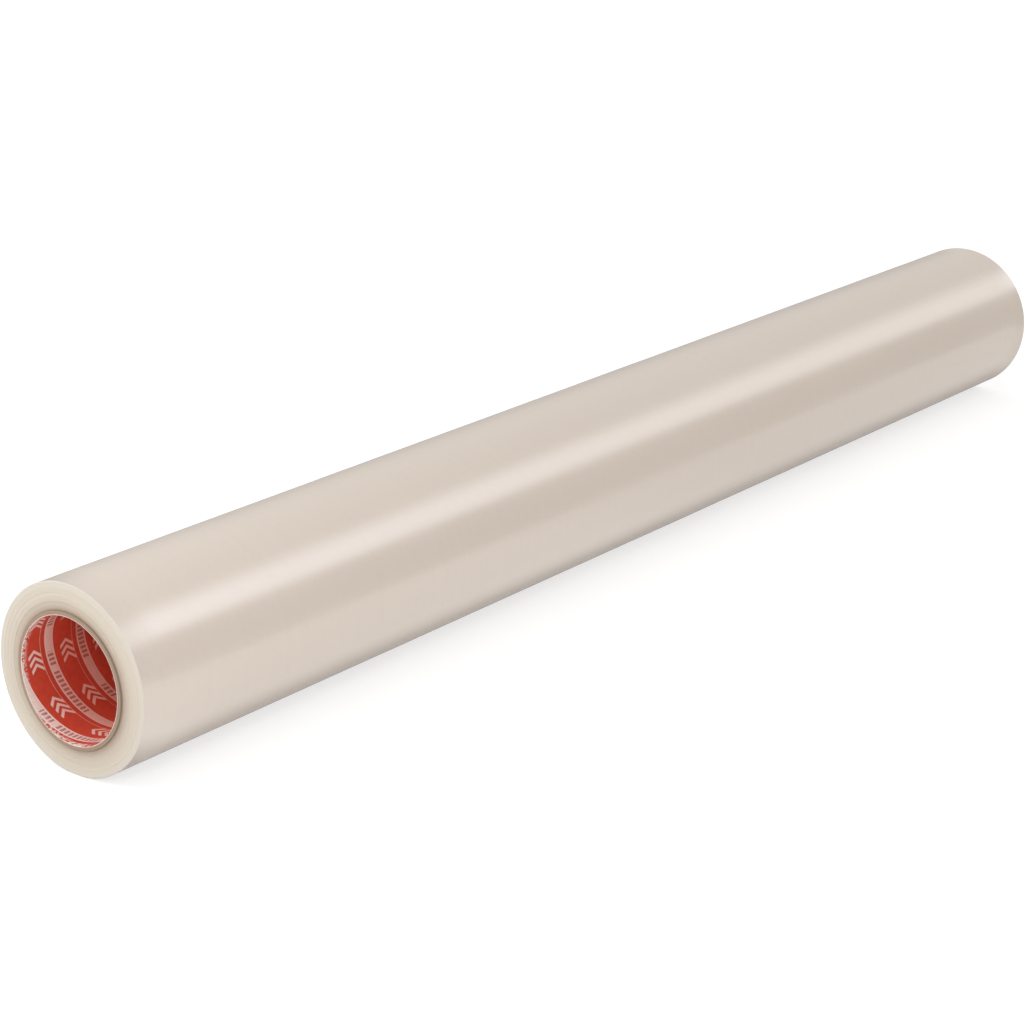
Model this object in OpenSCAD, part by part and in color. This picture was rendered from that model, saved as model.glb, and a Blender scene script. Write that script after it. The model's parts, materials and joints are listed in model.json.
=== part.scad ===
// Roll of clear protective film, wound on a board core with a printed paper lining.
// It lies on its side. The core's axis runs along Y, with the near end at -Y.
// The origin is under the middle of the roll, on the surface that it rests on.

/* [Film] */
// Width of the web, from one end of the wound film to the other
web_width = 1000; // [300:10:1600]
// Length of film on the roll
film_length = 100000; // [25000:1000:160000]
// Thickness of the film
film_thickness = 0.05; // [0.03:0.005:0.08]
// Share of the wound ring that is film, the rest being air held between the turns
winding_fill = 0.98; // [0.9:0.01:1]

/* [Core] */
// Bore of the lined core, which takes a three-inch mandrel
core_bore = 76.2; // [50:0.1:152.4]
// Thickness of the printed paper that lines the bore
liner_thickness = 0.3; // [0.1:0.05:1]
// Wall of the board tube round the lining
board_wall = 2.4; // [1:0.1:10]
// Length of core that stands out past the film at each end
core_overhang = 1.5; // [0.5:0.5:20]
// Bevel round the outer edge of each end of the board tube
core_bevel = 0.4; // [0.1:0.05:0.8]

/* [Turns] */
// Groups of turns that show as separate rings on each end of the film
turn_groups = 16; // [6:1:24]
// Difference in width between one group and the next, as a share of their mean
group_variation = 0.45; // [0:0.05:0.8]
// Furthest that the web wandered sideways while the first turns were wound
web_wander = 0.25; // [0:0.05:0.8]
// Times that the web wandered to and fro between the core and the outside
wander_waves = 3.5; // [0.5:0.5:8]
// How soon that wander dies away, from evenly at 1 to almost at once at 4
wander_settling = 2; // [1:0.5:4]
// Furthest that a single group of turns slipped sideways by itself
group_slip = 0.06; // [0.01:0.01:0.2]
// Width of the ring of outer turns whose edges are worn round
rim_width = 1; // [0.4:0.1:4]
// Depth that the outermost turn's edges are worn back
rim_wear = 0.6; // [0:0.05:1.5]
// Groups of turns in that worn ring
rim_groups = 4; // [2:1:8]
// Place of the film's free end round the roll, clockwise from the top at the near end
tail_angle = 235; // [200:5:340]

/* [Rest] */
// Width of the flat that the roll's own weight presses on its underside
rest_flat = 12; // [10:1:24]

/* [Hidden] */
$fn = 180;

board_bore_r = core_bore / 2 + liner_thickness;
core_r = board_bore_r + board_wall;
core_length = web_width + 2 * core_overhang;

// The film's volume for each unit of width is the area of the wound ring
ring_area = film_length * film_thickness / winding_fill;
film_r = sqrt(core_r * core_r + ring_area / PI);
axis_height = sqrt(film_r * film_r - rest_flat * rest_flat / 4);
underside_angle = 180;

// Each group's share of the ring follows a turn that never comes back to where it began
golden_turn = 137.5;
group_shares = [for (i = [0 : turn_groups - 1]) 1 + group_variation * sin(golden_turn * i)];
function sum_of_first(list, n) = n == 0 ? 0 : list[n - 1] + sum_of_first(list, n - 1);
all_shares = sum_of_first(group_shares, turn_groups);
rim_start = film_r - rim_width;
inner_radii = [for (i = [0 : turn_groups - 1])
    core_r + (rim_start - core_r) * sum_of_first(group_shares, i) / all_shares];
rim_radii = [for (i = [0 : rim_groups]) rim_start + rim_width * i / rim_groups];
radii = concat(inner_radii, rim_radii);
last_group = len(radii) - 2;

// The web settled as the roll grew, so its wander dies away towards the outside
function way_out(r) = (r - core_r) / (film_r - core_r);
function wander(r) = web_wander * pow(1 - way_out(r), wander_settling)
    * sin(360 * wander_waves * way_out(r));
// The groups of the worn ring follow its curve and have no slip of their own
function slip(i) = i < turn_groups ? group_slip * cos(golden_turn * i) : 0;
// The worn rim is round, like a quarter of an ellipse
function into_rim(r) = max(0, (r - rim_start) / rim_width);
function wear(r) = rim_wear * (1 - sqrt(1 - into_rim(r) * into_rim(r)));
function group_middle(i) = (radii[i] + radii[i + 1]) / 2;
function aside(i) = wander(group_middle(i)) + slip(i);

// A group that lies aside moves both edges of the web the same way, and wear shortens both
near_edge = [for (i = [0 : last_group]) for (r = [radii[i], radii[i + 1]])
    [r, web_width / 2 + aside(i) - wear(group_middle(i))]];
far_edge = [for (i = [last_group : -1 : 0]) for (r = [radii[i + 1], radii[i]])
    [r, -web_width / 2 + aside(i) + wear(group_middle(i))]];

// Puts a piece that is drawn upright round Z where it lies, with its top end nearest
module laid_down() {
    translate([0, 0, axis_height])
    rotate([90, 0, 0])
    children();
}

// The space past the film's free end, where the surface is one film lower. It runs round to the
// underside, where the turn below comes up level in the flat that the roll's weight presses.
module space_past_tail() {
    spare = 1;
    sector_step = 15;
    outside = 2 * film_r;
    linear_extrude(height = web_width + 2 * (web_wander + group_slip + spare), center = true)
    difference() {
        polygon(concat([[0, 0]], [for (a = [underside_angle : sector_step : tail_angle - sector_step / 2])
            outside * [sin(a), cos(a)]], [outside * [sin(tail_angle), cos(tail_angle)]]));
        circle(r = film_r - film_thickness);
    }
}

module wound_film() {
    color([0.86, 0.82, 0.76])
    difference() {
        laid_down()
        difference() {
            rotate_extrude() polygon(concat(near_edge, far_edge));
            space_past_tail();
        }
        translate([-film_r, -web_width, -film_r])
        cube([2 * film_r, 2 * web_width, film_r]);
    }
}

module core_tube() {
    end = core_length / 2;
    color([0.74, 0.68, 0.58])
    laid_down()
    rotate_extrude()
    polygon([
        [board_bore_r, -end],
        [core_r - core_bevel, -end],
        [core_r, -end + core_bevel],
        [core_r, end - core_bevel],
        [core_r - core_bevel, end],
        [board_bore_r, end],
    ]);
}

module core_liner() {
    color([0.72, 0.16, 0.11])
    laid_down()
    difference() {
        cylinder(r = board_bore_r, h = core_length, center = true);
        cylinder(d = core_bore, h = 2 * core_length, center = true);
    }
}

wound_film();
core_tube();
core_liner();
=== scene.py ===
"""Roll of clear protective film on a lined board core, drawn round its solid model."""

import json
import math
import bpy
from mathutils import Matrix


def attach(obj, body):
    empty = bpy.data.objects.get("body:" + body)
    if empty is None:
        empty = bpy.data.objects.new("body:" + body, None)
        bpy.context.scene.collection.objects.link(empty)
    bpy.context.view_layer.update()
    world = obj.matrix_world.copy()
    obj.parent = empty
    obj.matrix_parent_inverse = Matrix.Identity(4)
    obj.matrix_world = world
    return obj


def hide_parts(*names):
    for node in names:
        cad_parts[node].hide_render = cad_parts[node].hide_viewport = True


bl_info = {
    "name": "Protective Film Roll",
    "version": (1, 0, 0),
    "blender": (4, 5, 0),
    "location": "3D View > Sidebar > Film Roll",
    "description": "Winds a roll of clear film on a board core with a printed paper lining",
    "category": "Add Mesh",
}

import bmesh
import bpy
import numpy as np
from mathutils import Matrix, Vector

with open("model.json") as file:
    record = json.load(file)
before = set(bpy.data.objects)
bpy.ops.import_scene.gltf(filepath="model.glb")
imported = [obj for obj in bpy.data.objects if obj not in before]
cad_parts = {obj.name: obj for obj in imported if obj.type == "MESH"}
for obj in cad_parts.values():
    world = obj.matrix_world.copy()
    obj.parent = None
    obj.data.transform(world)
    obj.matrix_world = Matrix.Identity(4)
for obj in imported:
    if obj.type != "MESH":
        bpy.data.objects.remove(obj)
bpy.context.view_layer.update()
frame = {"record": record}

BORE = next(mount for mount in frame["record"]["mounts"] if mount["name"] == "core_bore")
BORE_R = BORE["dims"]["r_mm"] / 1000
CORE_LENGTH = BORE["dims"]["length_mm"] / 1000
AXIS_HEIGHT = BORE["pos_m"][2]
BODY = "root"
WINDING = "Wind Profile"
MM = 0.001
SAME_PLACE = 0.001 * MM


# Sizes and colours that a user may change


class FilmRollSizes(bpy.types.PropertyGroup):
    """Sizes of the roll, in metres unless a property says otherwise"""

    film_length: bpy.props.FloatProperty(
        name="Film Length", description="Length of film on the roll", default=100.0, min=25.0, unit="LENGTH"
    )
    film_thickness: bpy.props.FloatProperty(
        name="Film Thickness",
        description="Thickness of one turn",
        default=0.00005,
        min=0.00003,
        precision=6,
        unit="LENGTH",
    )
    winding_fill: bpy.props.FloatProperty(
        name="Winding Fill",
        description="Share of the wound ring that is film and not air",
        default=0.98,
        min=0.9,
        max=1.0,
        subtype="FACTOR",
    )
    web_width: bpy.props.FloatProperty(
        name="Web Width", description="Width of the film", default=1.0, min=0.3, unit="LENGTH"
    )
    liner_thickness: bpy.props.FloatProperty(
        name="Lining",
        description="Thickness of the printed paper",
        default=0.0003,
        precision=5,
        unit="LENGTH",
    )
    board_wall: bpy.props.FloatProperty(
        name="Board Wall",
        description="Wall of the board tube",
        default=0.0024,
        precision=5,
        unit="LENGTH",
    )
    web_wander: bpy.props.FloatProperty(
        name="Web Wander",
        description="Furthest that the web wandered sideways while the first turns were wound",
        default=0.00025,
        precision=5,
        unit="LENGTH",
    )
    group_slip: bpy.props.FloatProperty(
        name="Group Slip",
        description="Furthest that a single group of turns slipped sideways by itself",
        default=0.00006,
        precision=6,
        unit="LENGTH",
    )
    turn_groups: bpy.props.IntProperty(
        name="Turn Groups", description="Groups of turns that show on each end", default=16, min=6, max=24
    )
    rings_in_group: bpy.props.IntProperty(
        name="Rings in a Group",
        description="Fine rings that each group is drawn with",
        default=3,
        min=1,
        max=5,
    )
    rim_width: bpy.props.FloatProperty(
        name="Rim Width", description="Ring of outer turns that is worn round", default=0.001, unit="LENGTH"
    )
    rim_wear: bpy.props.FloatProperty(
        name="Rim Wear", description="Depth that the rim is worn back", default=0.0006, unit="LENGTH"
    )
    tail_angle: bpy.props.FloatProperty(
        name="Free End",
        description="Place of the film's free end, clockwise from the top at the near end",
        default=math.radians(235.0),
        subtype="ANGLE",
    )
    tail_lift: bpy.props.FloatProperty(
        name="Free End Lift",
        description="Height that the film's free end stands off the turn below",
        default=0.0002,
        precision=5,
        unit="LENGTH",
    )
    band_height: bpy.props.FloatProperty(
        name="Band Height",
        description="Height of the faint bands that run round the film",
        default=0.00025,
        precision=5,
        unit="LENGTH",
    )
    columns: bpy.props.IntProperty(
        name="Columns", description="Steps in one turn of the film", default=300, min=48, max=400
    )
    core_columns: bpy.props.IntProperty(
        name="Core Columns", description="Steps in one turn of the core", default=240, min=48, max=400
    )


class FilmRollColours(bpy.types.PropertyGroup):
    """Colours of the roll's film, board and print"""

    film: bpy.props.FloatVectorProperty(
        name="Film",
        description="Wound film from the side",
        default=(0.660, 0.569, 0.489),
        size=3,
        subtype="COLOR",
    )
    # Painted shade: the darker colour of the turn edges where the core shades the end
    shaded_inner_turns: bpy.props.FloatVectorProperty(
        name="Inner Turns",
        description="Turn edges beside the core",
        default=(0.436, 0.343, 0.27),
        size=3,
        subtype="COLOR",
    )
    outer_turns: bpy.props.FloatVectorProperty(
        name="Outer Turns",
        description="Turn edges in the outer half",
        default=(0.645, 0.587, 0.49),
        size=3,
        subtype="COLOR",
    )
    rim_turns: bpy.props.FloatVectorProperty(
        name="Rim Turns",
        description="Edges of the last turns",
        default=(0.615, 0.568, 0.508),
        size=3,
        subtype="COLOR",
    )
    board: bpy.props.FloatVectorProperty(
        name="Board",
        description="Cut end of the board tube",
        default=(0.385, 0.278, 0.2),
        size=3,
        subtype="COLOR",
    )
    # Partly the board's own darker outside and partly painted shade of the corner where the tube stands out
    # of the film
    board_skin_and_shade: bpy.props.FloatVectorProperty(
        name="Board Skin",
        description="Outside of the board tube",
        default=(0.27, 0.2, 0.145),
        size=3,
        subtype="COLOR",
    )
    print_ground: bpy.props.FloatVectorProperty(
        name="Print Ground",
        description="Red ground of the lining",
        default=(0.64, 0.077, 0.042),
        size=3,
        subtype="COLOR",
    )
    # Both the paper worn white at the mouth of the bore and painted light on the pale print near the mouth
    print_worn_and_lit: bpy.props.FloatVectorProperty(
        name="Worn Paper",
        description="Paper worn pale at the mouth of the bore",
        default=(0.98, 0.94, 0.88),
        size=3,
        subtype="COLOR",
    )
    print_pale: bpy.props.FloatVectorProperty(
        name="Print Pale",
        description="Pale bands and marks of the lining",
        default=(0.88, 0.5, 0.41),
        size=3,
        subtype="COLOR",
    )


def film_roll_sizes():
    return bpy.context.scene.film_roll_sizes


def film_roll_colours():
    return bpy.context.scene.film_roll_colours


def board_bore_radius():
    return BORE_R + film_roll_sizes().liner_thickness


def core_radius():
    return board_bore_radius() + film_roll_sizes().board_wall


def film_radius():
    sizes = film_roll_sizes()
    ring_area = sizes.film_length * sizes.film_thickness / sizes.winding_fill
    return math.sqrt(core_radius() ** 2 + ring_area / math.pi)


# Node trees


class Wiring:
    """Adds nodes to a tree and links them in one call each"""

    def __init__(self, tree):
        self.tree = tree

    def node(self, kind, inputs=None, **settings):
        made = self.tree.nodes.new(kind)
        for name, value in settings.items():
            setattr(made, name, value)
        for name, value in (inputs or {}).items():
            self.feed(made.inputs[name], value)
        return made

    def feed(self, socket, value):
        if isinstance(value, bpy.types.NodeSocket):
            self.tree.links.new(value, socket)
        elif isinstance(value, bpy.types.Node):
            self.tree.links.new(value.outputs[0], socket)
        else:
            socket.default_value = value

    def math(self, operation, *values):
        return self.node("ShaderNodeMath", dict(enumerate(values)), operation=operation).outputs[0]

    def noise(self, vector, scale, detail=2.0, roughness=0.5):
        inputs = {"Vector": vector, "Scale": scale, "Detail": detail, "Roughness": roughness}
        return self.node("ShaderNodeTexNoise", inputs).outputs[0]

    def line_noise(self, place, scale, detail=2.0, roughness=0.5):
        inputs = {"W": place, "Scale": scale, "Detail": detail, "Roughness": roughness}
        return self.node("ShaderNodeTexNoise", inputs, noise_dimensions="1D").outputs[0]

    def span(self, value, low, high, to_low=0.0, to_high=1.0):
        inputs = {"Value": value, "From Min": low, "From Max": high, "To Min": to_low, "To Max": to_high}
        return self.node("ShaderNodeMapRange", inputs).outputs[0]

    def spread(self, noise, to_low=0.0, to_high=1.0, reach=0.2):
        """Stretches a noise, which seldom goes further than the reach from its middle"""
        return self.span(noise, 0.5 - reach, 0.5 + reach, to_low, to_high)

    def soft_span(self, value, low, high):
        inputs = {"Value": value, "From Min": low, "From Max": high}
        return self.node("ShaderNodeMapRange", inputs, interpolation_type="SMOOTHSTEP").outputs[0]

    def inside(self, value, limit, blur=0.1 * MM):
        """1 where the value is under the limit and 0 past it"""
        return self.span(value, limit - blur, limit + blur, 1.0, 0.0)

    def curve(self, value, stops):
        """Runs straight from stop to stop, each of them a place and a level from 0 to 1"""
        ramp = self.node("ShaderNodeValToRGB", {"Fac": value})
        elements = ramp.color_ramp.elements
        while len(elements) < len(stops):
            elements.new(0.5)
        for element, (place, level) in zip(elements, stops):
            element.position = place
            element.color = (level, level, level, 1.0)
        return ramp.outputs["Color"]

    def blend(self, share, first, second):
        made = self.node("ShaderNodeMix", data_type="RGBA")
        self.feed(made.inputs["Factor"], share)
        colours = [socket for socket in made.inputs if socket.type == "RGBA"]
        self.feed(colours[0], first)
        self.feed(colours[1], second)
        return next(socket for socket in made.outputs if socket.type == "RGBA")


def opaque(colour):
    return (*colour[:3], 1.0)


def shade(colour, by):
    return (*(part * by for part in colour[:3]), 1.0)


def new_material(name):
    """A material with its Principled shader, and the wiring to fill it"""
    material = bpy.data.materials.new(name)
    material.use_nodes = True
    shader = material.node_tree.nodes["Principled BSDF"]
    return material, shader, Wiring(material.node_tree)


def roll_places(wire):
    """Sockets for the place on the roll: vector, radius, angle clockwise from the top, and Y"""
    place = wire.node("ShaderNodeTexCoord").outputs["Object"]
    from_floor_to_axis = {"Vector": place, "Location": (0.0, 0.0, -AXIS_HEIGHT)}
    centred = wire.node("ShaderNodeMapping", from_floor_to_axis).outputs[0]
    x, y, z = wire.node("ShaderNodeSeparateXYZ", {"Vector": centred}).outputs
    across = wire.math("ADD", wire.math("MULTIPLY", x, x), wire.math("MULTIPLY", z, z))
    return centred, wire.math("SQRT", across), wire.math("ARCTAN2", x, z), y


def add_bump(wire, shader, height, distance, strength=1.0):
    inputs = {"Height": height, "Distance": distance, "Strength": strength}
    wire.feed(shader.inputs["Normal"], wire.node("ShaderNodeBump", inputs).outputs[0])


def stretched(wire, vector, scale):
    return wire.node("ShaderNodeMapping", {"Vector": vector, "Scale": scale}).outputs[0]


# Materials


def film_side_material():
    """Satin clear film over many turns: cream, with faint bands round it and a fine mottle"""
    material, shader, wire = new_material("film side")
    place, _, _, y = roll_places(wire)
    colour = film_roll_colours().film
    gauge_bands = wire.line_noise(y, scale=150.0, detail=3.0, roughness=0.55)
    cloud = wire.noise(stretched(wire, place, (1.0, 0.5, 1.0)), scale=30.0, detail=3.0)
    mottle = wire.noise(place, scale=420.0)
    tone = wire.math("ADD", wire.math("MULTIPLY", gauge_bands, 0.6), wire.math("MULTIPLY", cloud, 0.4))
    base = wire.blend(wire.spread(tone, reach=0.15), shade(colour, 0.985), shade(colour, 1.015))
    base = wire.blend(wire.spread(mottle, reach=0.15), base, shade(colour, 1.01))
    wire.feed(shader.inputs["Base Color"], base)
    wire.feed(shader.inputs["Roughness"], wire.spread(cloud, 0.2, 0.24))
    # More than one film's own index, because many clear layers mirror together
    shader.inputs["IOR"].default_value = 1.8
    height = wire.math("ADD", wire.math("MULTIPLY", gauge_bands, 0.35), wire.math("MULTIPLY", mottle, 0.65))
    add_bump(wire, shader, height, distance=0.02 * MM)
    return material


def film_end_material():
    """Turn edges seen end on, with round lines: painted shade darkens them beside the core, painted
    translucent light makes them paler outwards, and they are cooler at the rim
    """
    material, shader, wire = new_material("film turn edges")
    place, radius, _, _ = roll_places(wire)
    colours = film_roll_colours()
    wobble = wire.math("MULTIPLY", wire.noise(place, scale=60.0), 0.4 * MM)
    turn = wire.math("ADD", radius, wobble)
    fine = wire.line_noise(turn, scale=4200.0, detail=3.0, roughness=0.7)
    broad = wire.line_noise(turn, scale=700.0)

    way_out = wire.span(radius, core_radius(), film_radius())
    # Painted shade and light: the turn edges go from the shaded colour beside the core to the paler lit
    # colour outwards
    paler_outwards = [(0.06, 0.0), (0.19, 0.38), (0.32, 0.62), (0.44, 0.75), (1.0, 1.0)]
    base = wire.blend(
        wire.curve(way_out, paler_outwards), opaque(colours.shaded_inner_turns), opaque(colours.outer_turns)
    )
    base = wire.blend(wire.span(way_out, 0.72, 1.0), base, opaque(colours.rim_turns))
    # Painted shade also darkens the broad ring lines beside the core
    shade_beside_core = wire.span(way_out, 0.0, 0.45, 0.3, 0.02)
    dark_lines = wire.math("MULTIPLY", wire.spread(broad, 1.0, 0.0, reach=0.15), shade_beside_core)
    base = wire.blend(dark_lines, base, shade(colours.shaded_inner_turns, 0.75))
    pale_lines = wire.math("MULTIPLY", wire.span(fine, 0.4, 0.7), 0.06)
    base = wire.blend(pale_lines, base, shade(colours.outer_turns, 1.05))
    wire.feed(shader.inputs["Base Color"], base)
    wire.feed(shader.inputs["Roughness"], wire.spread(fine, 0.36, 0.5))
    shader.inputs["IOR"].default_value = 1.5
    height = wire.math("ADD", wire.math("MULTIPLY", fine, 0.4), wire.math("MULTIPLY", broad, 0.6))
    add_bump(wire, shader, height, distance=0.05 * MM, strength=0.4)
    return material


def board_material():
    """Grey-brown board: plies on the cut end, a darker outside that is partly its own skin and partly painted
    shade, a pale inner edge
    """
    material, shader, wire = new_material("spiral-wound board")
    place, radius, _, _ = roll_places(wire)
    colours = film_roll_colours()
    ply, pale_from, pale_to = 0.62 * MM, 0.25 * MM, 0.55 * MM
    skin_and_shade_from, skin_and_shade_to = 0.6 * MM, 0.2 * MM
    along_plies = stretched(wire, place, (1.0, 0.35, 1.0))
    fibres = wire.noise(along_plies, scale=900.0, detail=4.0, roughness=0.65)
    into_wall = wire.math("SUBTRACT", radius, BORE_R)
    plies = wire.math("SINE", wire.math("MULTIPLY", into_wall, 2 * math.pi / ply))
    base = wire.blend(wire.span(plies, -0.4, 0.9), shade(colours.board, 0.72), shade(colours.board, 1.2))
    inner = board_bore_radius()
    pale_edge = wire.span(radius, inner + pale_from, inner + pale_to, 0.2, 0.0)
    base = wire.blend(pale_edge, base, opaque(colours.print_pale))
    # Darker outside: partly the board's own skin and partly painted shade of the corner where the tube stands
    # out of the film
    skin = wire.span(radius, core_radius() - skin_and_shade_from, core_radius() - skin_and_shade_to)
    base = wire.blend(skin, base, opaque(colours.board_skin_and_shade))
    base = wire.blend(wire.math("MULTIPLY", fibres, 0.3), base, shade(colours.board, 0.6))
    wire.feed(shader.inputs["Base Color"], base)
    wire.feed(shader.inputs["Roughness"], wire.spread(fibres, 0.75, 0.95))
    add_bump(wire, shader, fibres, distance=0.12 * MM, strength=0.6)
    return material


def arrowhead_marks(wire, turns, across):
    """Groups of three plain arrowheads that point round the bore, between one band and the next"""
    groups_round, first_group = 8, 0.52
    group_middle, arrow_half_width, bar_half, bar_slant = 0.6 * MM, 4.7 * MM, 1.075 * MM, 0.85
    group_gap = 2 * math.pi * BORE_R / groups_round
    step = wire.math("FRACT", wire.math("ADD", wire.math("MULTIPLY", turns, groups_round), first_group))
    ahead = wire.math("MULTIPLY", wire.math("SUBTRACT", step, 0.5), group_gap)
    sideways = wire.math("ABSOLUTE", wire.math("SUBTRACT", across, group_middle))
    swept = wire.math("ADD", ahead, wire.math("MULTIPLY", sideways, bar_slant))
    marks = 0.0
    for tip in (-2.7 * MM, 1.6 * MM, 5.9 * MM):
        bar = wire.inside(wire.math("ABSOLUTE", wire.math("SUBTRACT", swept, tip)), bar_half, 0.125 * MM)
        marks = wire.math("MAXIMUM", marks, bar)
    return wire.math("MULTIPLY", marks, wire.inside(sideways, arrow_half_width))


def dash_marks(wire, turns, bands_along, from_band):
    """Plain dashes along each band, with one long row and one short row in each quarter turn"""
    dashes_round, dash_share, row_half = 86, 0.6, 2.075 * MM
    long_row_share, short_row_middle, short_row_half, row_start = 0.48, 0.62, 0.075, 0.333
    nearest_band = wire.math("FLOOR", wire.math("ADD", bands_along, 0.5))
    which_band = wire.math("FRACT", wire.math("MULTIPLY", nearest_band, 0.5))
    start = wire.math("SUBTRACT", which_band, row_start)
    quarter = wire.math("FRACT", wire.math("ADD", wire.math("MULTIPLY", turns, 4.0), start))
    from_short_row = wire.math("ABSOLUTE", wire.math("SUBTRACT", quarter, short_row_middle))
    rows = wire.math(
        "MAXIMUM",
        wire.math("LESS_THAN", quarter, long_row_share),
        wire.math("LESS_THAN", from_short_row, short_row_half),
    )
    dash = wire.math("LESS_THAN", wire.math("FRACT", wire.math("MULTIPLY", turns, dashes_round)), dash_share)
    in_row = wire.inside(from_band, row_half, 0.075 * MM)
    return wire.math("MULTIPLY", rows, wire.math("MULTIPLY", dash, in_row))


def lining_material():
    """Coated paper printed red, with two pale bands wound along it, and plain dashes and arrowheads; painted
    light whitens the pale print near the mouth of the bore
    """
    material, shader, wire = new_material("printed lining")
    place, radius, angle, y = roll_places(wire)
    colours = film_roll_colours()
    bands_wound, band_gap, band_half, band_border = 2, 24.0 * MM, 3.2 * MM, 0.7 * MM
    first_band, line_place, line_half = 0.4, 5.5 * MM, 0.225 * MM
    mouth_light_depth, scuff_from, scuff_to = 34.0 * MM, 0.8 * MM, 4.5 * MM
    cut_from, cut_to = 0.02 * MM, 0.06 * MM

    turns = wire.math("DIVIDE", angle, 2 * math.pi)
    gaps_deep = wire.math("DIVIDE", wire.math("ADD", y, CORE_LENGTH / 2), band_gap)
    bands_along = wire.math("ADD", gaps_deep, wire.math("MULTIPLY", turns, bands_wound))
    bands_along = wire.math("SUBTRACT", bands_along, first_band)
    lane = wire.math("SUBTRACT", wire.math("FRACT", bands_along), 0.5)
    across = wire.math("MULTIPLY", lane, band_gap)
    from_band = wire.math("SUBTRACT", 0.5 * band_gap, wire.math("ABSOLUTE", across))
    band = wire.inside(from_band, band_half)
    within_border = wire.inside(from_band, band_half - band_border)
    from_line = wire.math("ABSOLUTE", wire.math("SUBTRACT", across, line_place))
    line = wire.inside(from_line, line_half, 0.075 * MM)
    arrowheads = arrowhead_marks(wire, turns, across)
    dashes = dash_marks(wire, turns, bands_along, from_band)

    ink = wire.noise(place, scale=350.0, detail=3.0)
    thick_ink = wire.spread(ink)
    red = wire.blend(thick_ink, shade(colours.print_ground, 0.92), shade(colours.print_ground, 1.08))
    pale = wire.blend(thick_ink, shade(colours.print_pale, 0.94), shade(colours.print_pale, 1.04))
    from_end = wire.math("SUBTRACT", CORE_LENGTH / 2, wire.math("ABSOLUTE", y))
    # Painted light: the pale print whitens towards the mouth of the bore, where the light reaches in
    painted_mouth_light = wire.span(from_end, 0.0, mouth_light_depth, 0.95, 0.0)
    pale = wire.blend(painted_mouth_light, pale, opaque(colours.print_worn_and_lit))
    base = wire.blend(band, red, pale)
    base = wire.blend(wire.math("MULTIPLY", within_border, 0.16), base, opaque(colours.print_ground))
    base = wire.blend(wire.math("MULTIPLY", dashes, 0.7), base, shade(colours.print_ground, 0.6))
    base = wire.blend(wire.math("MULTIPLY", line, 0.5), base, pale)
    base = wire.blend(wire.math("MULTIPLY", arrowheads, 0.92), base, pale)

    rubbed = wire.noise(place, scale=520.0, detail=3.0, roughness=0.7)
    scuffs = wire.span(rubbed, 0.46, 0.53)
    scuffed = wire.math("MULTIPLY", scuffs, wire.span(from_end, scuff_from, scuff_to, 0.95, 0.0))
    base = wire.blend(scuffed, base, opaque(colours.print_worn_and_lit))
    cut_edge = wire.span(radius, BORE_R + cut_from, BORE_R + cut_to)
    base = wire.blend(cut_edge, base, shade(colours.print_worn_and_lit, 0.72))
    wire.feed(shader.inputs["Base Color"], base)
    wire.feed(shader.inputs["Roughness"], wire.spread(ink, 0.34, 0.46))
    height = wire.math("ADD", scuffed, wire.math("MULTIPLY", ink, 0.4))
    add_bump(wire, shader, height, distance=0.03 * MM)
    return material


# Shapes


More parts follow.
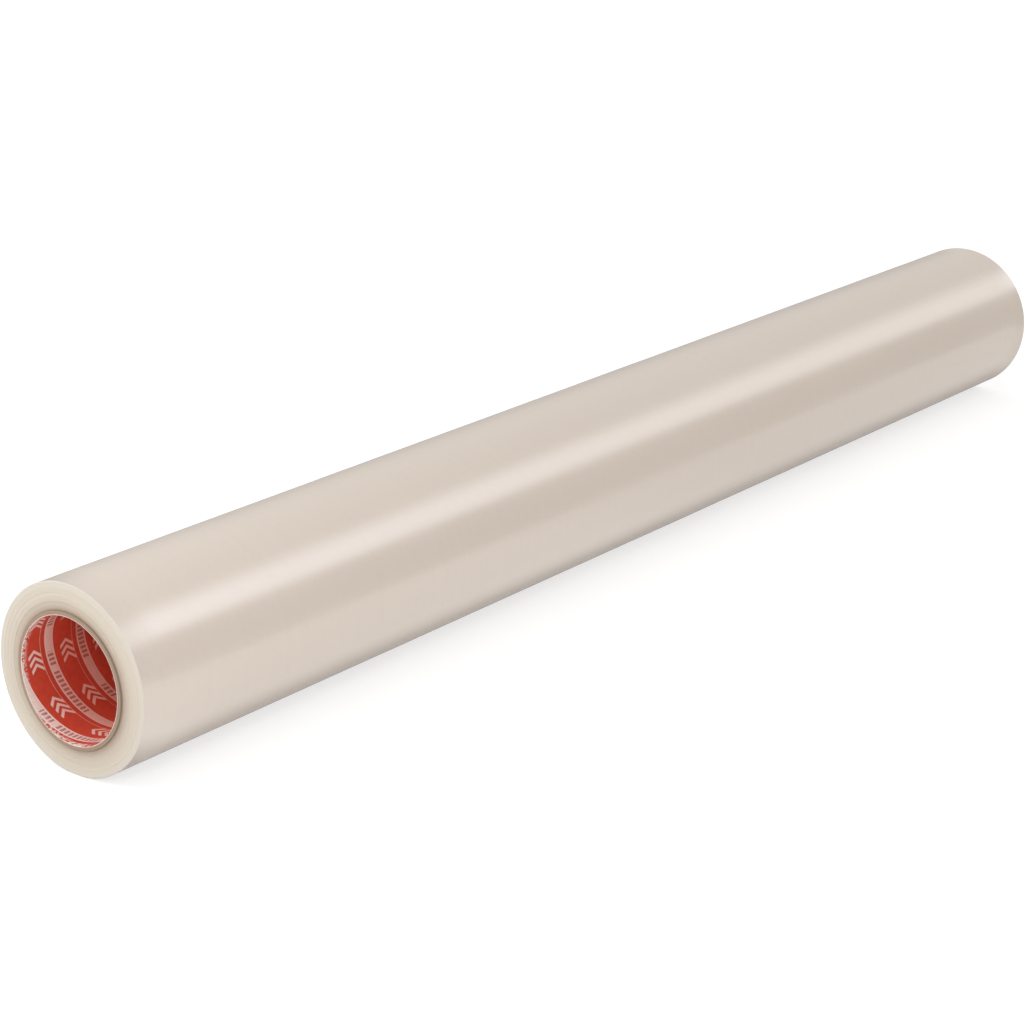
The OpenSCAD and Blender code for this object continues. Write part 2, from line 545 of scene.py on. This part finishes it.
def winding_tree():
    """Geometry Nodes that carry a profile once round the roll's axis as one turn of a spiral"""
    tree = bpy.data.node_groups.new(WINDING, "GeometryNodeTree")
    sockets = [
        ("Profile", "NodeSocketGeometry", None),
        ("Columns", "NodeSocketInt", 300),
        ("Axis Height", "NodeSocketFloat", AXIS_HEIGHT),
        ("Free End Angle", "NodeSocketFloat", 0.0),
        ("Turn Rise", "NodeSocketFloat", 0.0),
        ("Free End Lift", "NodeSocketFloat", 0.0),
        ("Lift Share", "NodeSocketFloat", 0.03),
        ("Band Height", "NodeSocketFloat", 0.0),
        ("Bands in a Metre", "NodeSocketFloat", 14.0),
        ("Highest Band", "NodeSocketFloat", 0.7),
        ("Band Seed", "NodeSocketFloat", 7.0),
        ("Material", "NodeSocketMaterial", None),
    ]
    for name, kind, default in sockets:
        socket = tree.interface.new_socket(name=name, in_out="INPUT", socket_type=kind)
        if default is not None:
            socket.default_value = default
    tree.interface.new_socket(name="Mesh", in_out="OUTPUT", socket_type="NodeSocketGeometry")
    wire = Wiring(tree)
    given = wire.node("NodeGroupInput").outputs
    rows = wire.node("GeometryNodeAttributeDomainSize", {"Geometry": given["Profile"]}).outputs["Point Count"]
    closed_rows = wire.math("ADD", rows, 1)
    all_columns = wire.math("ADD", given["Columns"], 2)
    grid = wire.node(
        "GeometryNodeMeshGrid",
        {"Size X": 1.0, "Size Y": 1.0, "Vertices X": all_columns, "Vertices Y": closed_rows},
    )
    index = wire.node("GeometryNodeInputIndex").outputs[0]
    column = wire.math("FLOOR", wire.math("DIVIDE", wire.math("ADD", index, 0.5), closed_rows))
    row = wire.math("SUBTRACT", index, wire.math("MULTIPLY", column, closed_rows))
    row = wire.math("MODULO", row, rows)
    column = wire.math("MODULO", column, wire.math("ADD", given["Columns"], 1))
    turned = wire.math("DIVIDE", column, given["Columns"])
    angle = wire.math("ADD", given["Free End Angle"], wire.math("MULTIPLY", turned, 2 * math.pi))

    place = wire.node("GeometryNodeInputPosition")
    sampled = wire.node(
        "GeometryNodeSampleIndex",
        {"Geometry": given["Profile"], "Value": place, "Index": row},
        data_type="FLOAT_VECTOR",
        domain="POINT",
    )
    point = wire.node("ShaderNodeSeparateXYZ", {"Vector": sampled.outputs[0]}).outputs
    radius, along, skin = point["X"], point["Y"], point["Z"]

    # The bands only sink into the surface, so the film stays inside its solid
    seeded = wire.math("ADD", along, given["Band Seed"])
    band = wire.line_noise(seeded, scale=given["Bands in a Metre"], detail=3.0)
    band = wire.math("MULTIPLY", wire.math("SUBTRACT", band, given["Highest Band"]), given["Band Height"])
    rise = wire.math("MULTIPLY", turned, given["Turn Rise"])
    by_free_end = wire.math("SUBTRACT", 1.0, wire.math("DIVIDE", turned, given["Lift Share"]))
    by_free_end = wire.math("MAXIMUM", by_free_end, 0.0)
    lift = wire.math("MULTIPLY", wire.math("MULTIPLY", by_free_end, by_free_end), given["Free End Lift"])
    change = wire.math("ADD", wire.math("SUBTRACT", band, rise), lift)
    radius = wire.math("ADD", radius, wire.math("MULTIPLY", change, skin))

    x = wire.math("MULTIPLY", radius, wire.math("SINE", angle))
    z = wire.math("ADD", wire.math("MULTIPLY", radius, wire.math("COSINE", angle)), given["Axis Height"])
    z = wire.math("MAXIMUM", z, 0.0)
    spot = wire.node("ShaderNodeCombineXYZ", {"X": x, "Y": along, "Z": z})
    moved = wire.node("GeometryNodeSetPosition", {"Geometry": grid.outputs["Mesh"], "Position": spot})
    merged = wire.node("GeometryNodeMergeByDistance", {"Geometry": moved, "Distance": SAME_PLACE})
    real = wire.node("GeometryNodeRealizeInstances", {"Geometry": merged})
    painted = wire.node("GeometryNodeSetMaterial", {"Geometry": real, "Material": given["Material"]})
    wire.node("NodeGroupOutput", {"Mesh": painted})
    return tree


def wind(name, profile, material, **inputs):
    """A plain mesh object: the profile's (radius, Y, skin) points carried once round the axis"""
    section = bpy.data.meshes.new(name + "_profile")
    links = [(i, i + 1) for i in range(len(profile) - 1)]
    section.from_pydata([tuple(map(float, point)) for point in profile], links, [])
    holder = bpy.data.objects.new(section.name, section)
    bpy.context.scene.collection.objects.link(holder)
    modifier = holder.modifiers.new("Winding", "NODES")
    modifier.node_group = bpy.data.node_groups.get(WINDING) or winding_tree()
    sockets = {item.name: item.identifier for item in modifier.node_group.interface.items_tree}
    for label, value in {**inputs, "Material": material}.items():
        modifier[sockets[label]] = value
    bpy.context.view_layer.update()
    evaluated = holder.evaluated_get(bpy.context.evaluated_depsgraph_get())
    wound = bpy.data.meshes.new_from_object(evaluated)
    bpy.data.objects.remove(holder)
    bpy.data.meshes.remove(section)
    wound.name = name
    made = bpy.data.objects.new(name, wound)
    bpy.context.scene.collection.objects.link(made)
    turn_outwards(wound)
    return made


def core_inputs():
    """Inputs of the winding for the pieces of the core, which are plain rings"""
    return {"Columns": film_roll_sizes().core_columns, "Axis Height": AXIS_HEIGHT}


def turn_outwards(mesh):
    """Merges doubles, drops faces of no area, and points every face outwards"""
    work = bmesh.new()
    work.from_mesh(mesh)
    bmesh.ops.remove_doubles(work, verts=work.verts, dist=SAME_PLACE)
    bmesh.ops.dissolve_degenerate(work, dist=SAME_PLACE / 10, edges=work.edges)
    bmesh.ops.recalc_face_normals(work, faces=work.faces)
    work.to_mesh(mesh)
    work.free()


def smooth_with_edges(mesh, sharp_degrees):
    mesh.shade_smooth()
    mesh.set_sharp_from_angle(angle=math.radians(sharp_degrees))


def turn_rings():
    """Inner radius, outer radius and sideways place of each ring of turns, from the core to the rim"""
    sizes = film_roll_sizes()
    core_r, film_r = core_radius(), film_radius()
    rim_start = film_r - sizes.rim_width
    golden_turn = math.radians(137.5)
    wander_waves, group_variation, fine_slip = 3.5, 0.45, 0.02 * MM
    counts = np.arange(sizes.turn_groups)
    shares = 1 + group_variation * np.sin(golden_turn * counts)
    edges = core_r + (rim_start - core_r) * np.concatenate([[0], np.cumsum(shares)]) / shares.sum()
    out = ((edges[:-1] + edges[1:]) / 2 - core_r) / (film_r - core_r)
    aside = sizes.web_wander * (1 - out) ** 2 * np.sin(2 * math.pi * wander_waves * out)
    aside += sizes.group_slip * np.cos(golden_turn * counts)
    rings = []
    for i in range(sizes.turn_groups):
        fine = np.linspace(edges[i], edges[i + 1], sizes.rings_in_group + 1)
        for j in range(sizes.rings_in_group):
            slip = fine_slip * math.sin(golden_turn * len(rings))
            rings.append((fine[j], fine[j + 1], aside[i] + slip))
    return rings


def film_profile():
    """Points round the section of the wound film, from the core at the near end and back"""
    sizes = film_roll_sizes()
    film_r = film_radius()
    half = sizes.web_width / 2
    rings = turn_rings()
    rim_points, side_points, rounded_share = 7, 46, 0.05

    def end_face(side):
        face = []
        for i, (inner, outer, aside) in enumerate(rings):
            inset = rounded_share * (outer - inner)
            y = side * half - aside
            face.append((inner + (inset if i else 0.0), y, 0.0))
            face.append((outer - inset, y, 0.0))
        for i in range(1, rim_points):
            into = math.sin(math.pi / 2 * i / rim_points)
            y = side * (half - sizes.rim_wear * (1 - math.sqrt(1 - into**2)))
            face.append((film_r - sizes.rim_width * (1 - into), y, 0.0))
        return face

    reach = half - sizes.rim_wear
    side = [(film_r, y, 1.0) for y in np.linspace(-reach, reach, side_points)]
    return end_face(-1) + side + end_face(1)[::-1]


class FILM_ROLL_OT_wind_film(bpy.types.Operator):
    """Winds the film's turns as one solid, with its ring edges, its free end and its flat"""

    bl_idname = "film_roll.wind_film"
    bl_label = "Wind Film"

    def execute(self, context):
        sizes = film_roll_sizes()
        sharp_degrees, facing_limit = 32, 0.5
        side, end = film_side_material(), film_end_material()
        film = wind(
            "film_turns",
            film_profile(),
            side,
            **{
                "Columns": sizes.columns,
                "Axis Height": AXIS_HEIGHT,
                "Free End Angle": sizes.tail_angle,
                "Turn Rise": sizes.film_thickness,
                "Free End Lift": sizes.tail_lift,
                "Band Height": sizes.band_height,
            },
        )
        mesh = film.data
        mesh.materials.clear()
        mesh.materials.append(side)
        mesh.materials.append(end)
        normals = np.empty(3 * len(mesh.polygons))
        mesh.polygons.foreach_get("normal", normals)
        centres = np.empty(3 * len(mesh.polygons))
        mesh.polygons.foreach_get("center", centres)
        beyond_side = np.abs(centres[1::3]) > sizes.web_width / 2 - sizes.rim_wear
        facing_end = np.abs(normals[1::3]) > facing_limit
        mesh.polygons.foreach_set("material_index", (beyond_side & facing_end).astype(np.int32))
        smooth_with_edges(mesh, sharp_degrees)
        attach(film, BODY)
        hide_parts("wound_film")
        return {"FINISHED"}


class FILM_ROLL_OT_board_tube(bpy.types.Operator):
    """Makes the board tube, with bevelled ends and a fine groove between its plies"""

    bl_idname = "film_roll.board_tube"
    bl_label = "Board Tube"

    def execute(self, context):
        inner, outer = board_bore_radius(), core_radius()
        half = CORE_LENGTH / 2
        bevel, rounded_share = 0.4 * MM, 0.3
        plies, groove_half_width, groove_depth = 5, 0.04 * MM, 0.05 * MM
        sharp_degrees = 40

        def cut_end(side):
            face = [(inner, side * half, 0.0)]
            for i in range(1, plies):
                edge = inner + (outer - bevel - inner) * i / plies
                face.append((edge - groove_half_width, side * half, 0.0))
                face.append((edge, side * (half - groove_depth), 0.0))
                face.append((edge + groove_half_width, side * half, 0.0))
            rounded = rounded_share * bevel
            face.append((outer - bevel, side * half, 0.0))
            face.append((outer - rounded, side * (half - rounded), 0.0))
            face.append((outer, side * (half - bevel), 0.0))
            return face

        profile = cut_end(-1) + cut_end(1)[::-1]
        board = wind("board_tube", profile, board_material(), **core_inputs())
        smooth_with_edges(board.data, sharp_degrees)
        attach(board, BODY)
        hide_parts("core_tube")
        return {"FINISHED"}


class FILM_ROLL_OT_paper_lining(bpy.types.Operator):
    """Lines the bore with printed paper"""

    bl_idname = "film_roll.paper_lining"
    bl_label = "Paper Lining"

    def execute(self, context):
        inner, outer = BORE_R, board_bore_radius()
        half = CORE_LENGTH / 2
        soft, points_along, sharp_degrees = 0.06 * MM, 41, 40
        inside = [(inner, y, 0.0) for y in np.linspace(half - soft, soft - half, points_along)]
        profile = [
            (inner + soft, -half, 0.0),
            (outer, -half, 0.0),
            (outer, half, 0.0),
            (inner + soft, half, 0.0),
            *inside,
        ]
        lining = wind("paper_lining", profile, lining_material(), **core_inputs())
        smooth_with_edges(lining.data, sharp_degrees)
        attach(lining, BODY)
        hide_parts("core_liner")
        return {"FINISHED"}


# Stage


def floor_material():
    """Pale floor that the camera sees as white apart from the shadow under the roll"""
    material = bpy.data.materials.new("pale floor")
    material.use_nodes = True
    tree = material.node_tree
    tree.nodes.clear()
    wire = Wiring(tree)
    rays = wire.node("ShaderNodeLightPath").outputs
    matte = wire.node("ShaderNodeBsdfDiffuse", {"Color": (0.88, 0.87, 0.86, 1.0)})
    grey = wire.node("ShaderNodeBsdfDiffuse", {"Color": (0.42, 0.42, 0.42, 1.0)})
    glow = wire.node("ShaderNodeEmission", {"Color": (1.0, 1.0, 1.0, 1.0), "Strength": 0.68})
    seen = wire.node("ShaderNodeAddShader", {0: grey, 1: glow})

    # In reflections the floor glows as painted light: a lit strip beside the roll, painted shade under the
    # roll where it stands, and a dim floor past the strip
    strip_from, strip_to, edge_at_middle, edge_slope, edge_blur = 0.036, 0.058, 0.344, 0.12, 0.02
    dim_level, far_level, near_level = 0.45, 1.0, 1.25
    x, y, _ = wire.node(
        "ShaderNodeSeparateXYZ", {"Vector": wire.node("ShaderNodeNewGeometry").outputs["Position"]}
    ).outputs
    edge = wire.math("SUBTRACT", edge_at_middle, wire.math("MULTIPLY", y, edge_slope))
    before_edge = wire.span(wire.math("SUBTRACT", edge, x), -edge_blur, edge_blur)
    lit = wire.math("MULTIPLY", wire.span(x, strip_from, strip_to), before_edge)
    lit_level = wire.span(wire.soft_span(y, 0.25, -0.1), 0.0, 1.0, far_level, near_level)
    mirrored = wire.node("ShaderNodeEmission", {"Strength": wire.span(lit, 0.0, 1.0, dim_level, lit_level)})
    bounced = wire.node("ShaderNodeMixShader", {0: rays["Is Glossy Ray"], 1: matte, 2: mirrored})
    whole = wire.node("ShaderNodeMixShader", {0: rays["Is Camera Ray"], 1: bounced, 2: seen})
    wire.node("ShaderNodeOutputMaterial", {"Surface": whole})
    return material


def studio_world():
    """White to the camera, even soft light, and one long softbox beside the roll in reflections"""
    world = bpy.data.worlds.new("Studio")
    world.use_nodes = True
    tree = world.node_tree
    tree.nodes.clear()
    wire = Wiring(tree)
    rays = wire.node("ShaderNodeLightPath").outputs
    direction = wire.node("ShaderNodeTexCoord").outputs["Generated"]
    x, y, z = wire.node("ShaderNodeSeparateXYZ", {"Vector": direction}).outputs
    # Degrees from straight up, towards the softbox's side, and how far a direction runs along the roll
    from_zenith = wire.math("DEGREES", wire.math("ARCTAN2", x, z))
    along = wire.math("ABSOLUTE", y)

    levels = [(-180, 0.3), (-90, 0.4), (-72, 0.56), (-50, 0.73), (20, 0.7), (56, 0.6), (62, 0.38), (130, 0.3)]
    stops = [(degrees / 360 + 0.5, level) for degrees, level in levels]
    room = wire.curve(wire.span(from_zenith, -180, 180), stops)
    below_box = wire.math("MULTIPLY", wire.span(from_zenith, 56, 64), wire.span(along, 0.62, 0.74, 0.45, 0.0))
    room = wire.math("MULTIPLY", room, wire.math("SUBTRACT", 1.0, below_box))

    far_away = wire.soft_span(along, 0.78, 0.87)
    box_start = wire.span(far_away, 0.0, 1.0, 14, 3)
    box_full = wire.span(far_away, 0.0, 1.0, 33, 29)
    box_end = wire.span(from_zenith, 48, 57, 1.0, 0.0)
    box = wire.math("MULTIPLY", wire.span(from_zenith, box_start, box_full), box_end)
    box_level = wire.span(along, 0.6, 0.84, 2.7, 1.25)
    mirrored = wire.math("ADD", room, wire.math("MULTIPLY", box, box_level))

    even, white = 0.92, (1.0, 1.0, 1.0, 1.0)
    near_tint, far_tint = (0.95, 0.99, 1.1, 1.0), (1.0, 1.0, 0.95, 1.0)
    light = wire.span(rays["Is Glossy Ray"], 0.0, 1.0, even, mirrored)
    light = wire.span(rays["Is Camera Ray"], 0.0, 1.0, light, 1.0)
    box_tint = wire.blend(wire.span(along, 0.72, 0.82), near_tint, far_tint)
    tint = wire.blend(wire.math("MULTIPLY", box, rays["Is Glossy Ray"]), white, box_tint)
    background = wire.node("ShaderNodeBackground", {"Color": tint, "Strength": light})
    wire.node("ShaderNodeOutputWorld", {"Surface": background})
    return world


def near_end():
    """The middle of the film's near end"""
    return Vector((0.0, -film_roll_sizes().web_width / 2, AXIS_HEIGHT))


def soft_box(name, place, side, watts):
    """A square softbox that faces the near end, and that nothing mirrors"""
    lamp = bpy.data.lights.new(name, "AREA")
    lamp.shape = "SQUARE"
    lamp.size = side
    lamp.energy = watts
    made = bpy.data.objects.new(name, lamp)
    made.visible_glossy = False
    turned = (near_end() - Vector(place)).to_track_quat("-Z", "Y").to_matrix().to_4x4()
    made.matrix_world = Matrix.Translation(place) @ turned
    bpy.context.scene.collection.objects.link(made)
    return made


def photo_camera():
    """The camera where the photograph was taken from"""
    azimuth, elevation = math.radians(38.13), math.radians(18.96)
    right = Vector((math.cos(azimuth), math.sin(azimuth), 0.0))
    ahead = Vector(
        (
            -math.sin(azimuth) * math.cos(elevation),
            math.cos(azimuth) * math.cos(elevation),
            -math.sin(elevation),
        )
    )
    above = right.cross(ahead)
    # Where the middle of the near end lies from the camera, in radii of the film
    near_end_right, near_end_above, near_end_ahead = -4.2502, -1.6227, 25.7711
    seen_at = right * near_end_right + above * near_end_above + ahead * near_end_ahead
    camera_data = bpy.data.cameras.new("Camera")
    camera_data.sensor_width = 36.0
    camera_data.lens = 94.09
    camera_data.clip_start, camera_data.clip_end = 0.05, 50.0
    camera = bpy.data.objects.new("Camera", camera_data)
    turned = Matrix((right, above, -ahead)).transposed().to_4x4()
    camera.matrix_world = Matrix.Translation(near_end() - film_radius() * seen_at) @ turned
    bpy.context.scene.collection.objects.link(camera)
    bpy.context.scene.camera = camera


class FILM_ROLL_OT_studio(bpy.types.Operator):
    """Sets the floor, the soft lights and the camera"""

    bl_idname = "film_roll.studio"
    bl_label = "Studio"

    def execute(self, context):
        reach = 8.0
        mesh = bpy.data.meshes.new("floor")
        corners = [(-reach, -reach, 0), (reach, -reach, 0), (reach, reach, 0), (-reach, reach, 0)]
        mesh.from_pydata(corners, [], [(0, 1, 2, 3)])
        mesh.materials.append(floor_material())
        floor = bpy.data.objects.new("floor", mesh)
        context.scene.collection.objects.link(floor)
        context.scene.world = studio_world()
        soft_box("front softbox", place=(-0.44, -1.03, 0.6), side=0.45, watts=2.4)
        soft_box("bore softbox", place=(0.42, -1.1, 0.52), side=0.16, watts=1.2)
        context.scene.view_settings.view_transform = "Standard"
        photo_camera()
        return {"FINISHED"}


class FILM_ROLL_PT_sidebar(bpy.types.Panel):
    """Lists the roll's pieces in the order they are made"""

    bl_label = "Film Roll"
    bl_idname = "FILM_ROLL_PT_sidebar"
    bl_space_type = "VIEW_3D"
    bl_region_type = "UI"
    bl_category = "Film Roll"

    def draw(self, context):
        for step in STEPS:
            self.layout.operator(step.bl_idname)
        for group in (context.scene.film_roll_sizes, context.scene.film_roll_colours):
            for name in group.__annotations__:
                self.layout.prop(group, name)


STEPS = (
    FILM_ROLL_OT_studio,
    FILM_ROLL_OT_wind_film,
    FILM_ROLL_OT_board_tube,
    FILM_ROLL_OT_paper_lining,
)
CLASSES = (FilmRollSizes, FilmRollColours, *STEPS, FILM_ROLL_PT_sidebar)


def register():
    for each in CLASSES:
        bpy.utils.register_class(each)
    bpy.types.Scene.film_roll_sizes = bpy.props.PointerProperty(type=FilmRollSizes)
    bpy.types.Scene.film_roll_colours = bpy.props.PointerProperty(type=FilmRollColours)


def unregister():
    del bpy.types.Scene.film_roll_colours
    del bpy.types.Scene.film_roll_sizes
    for each in reversed(CLASSES):
        bpy.utils.unregister_class(each)


def main():
    register()
    bpy.ops.film_roll.studio()
    bpy.ops.film_roll.wind_film()
    bpy.ops.film_roll.board_tube()
    bpy.ops.film_roll.paper_lining()


if __name__ == "__main__":
    main()
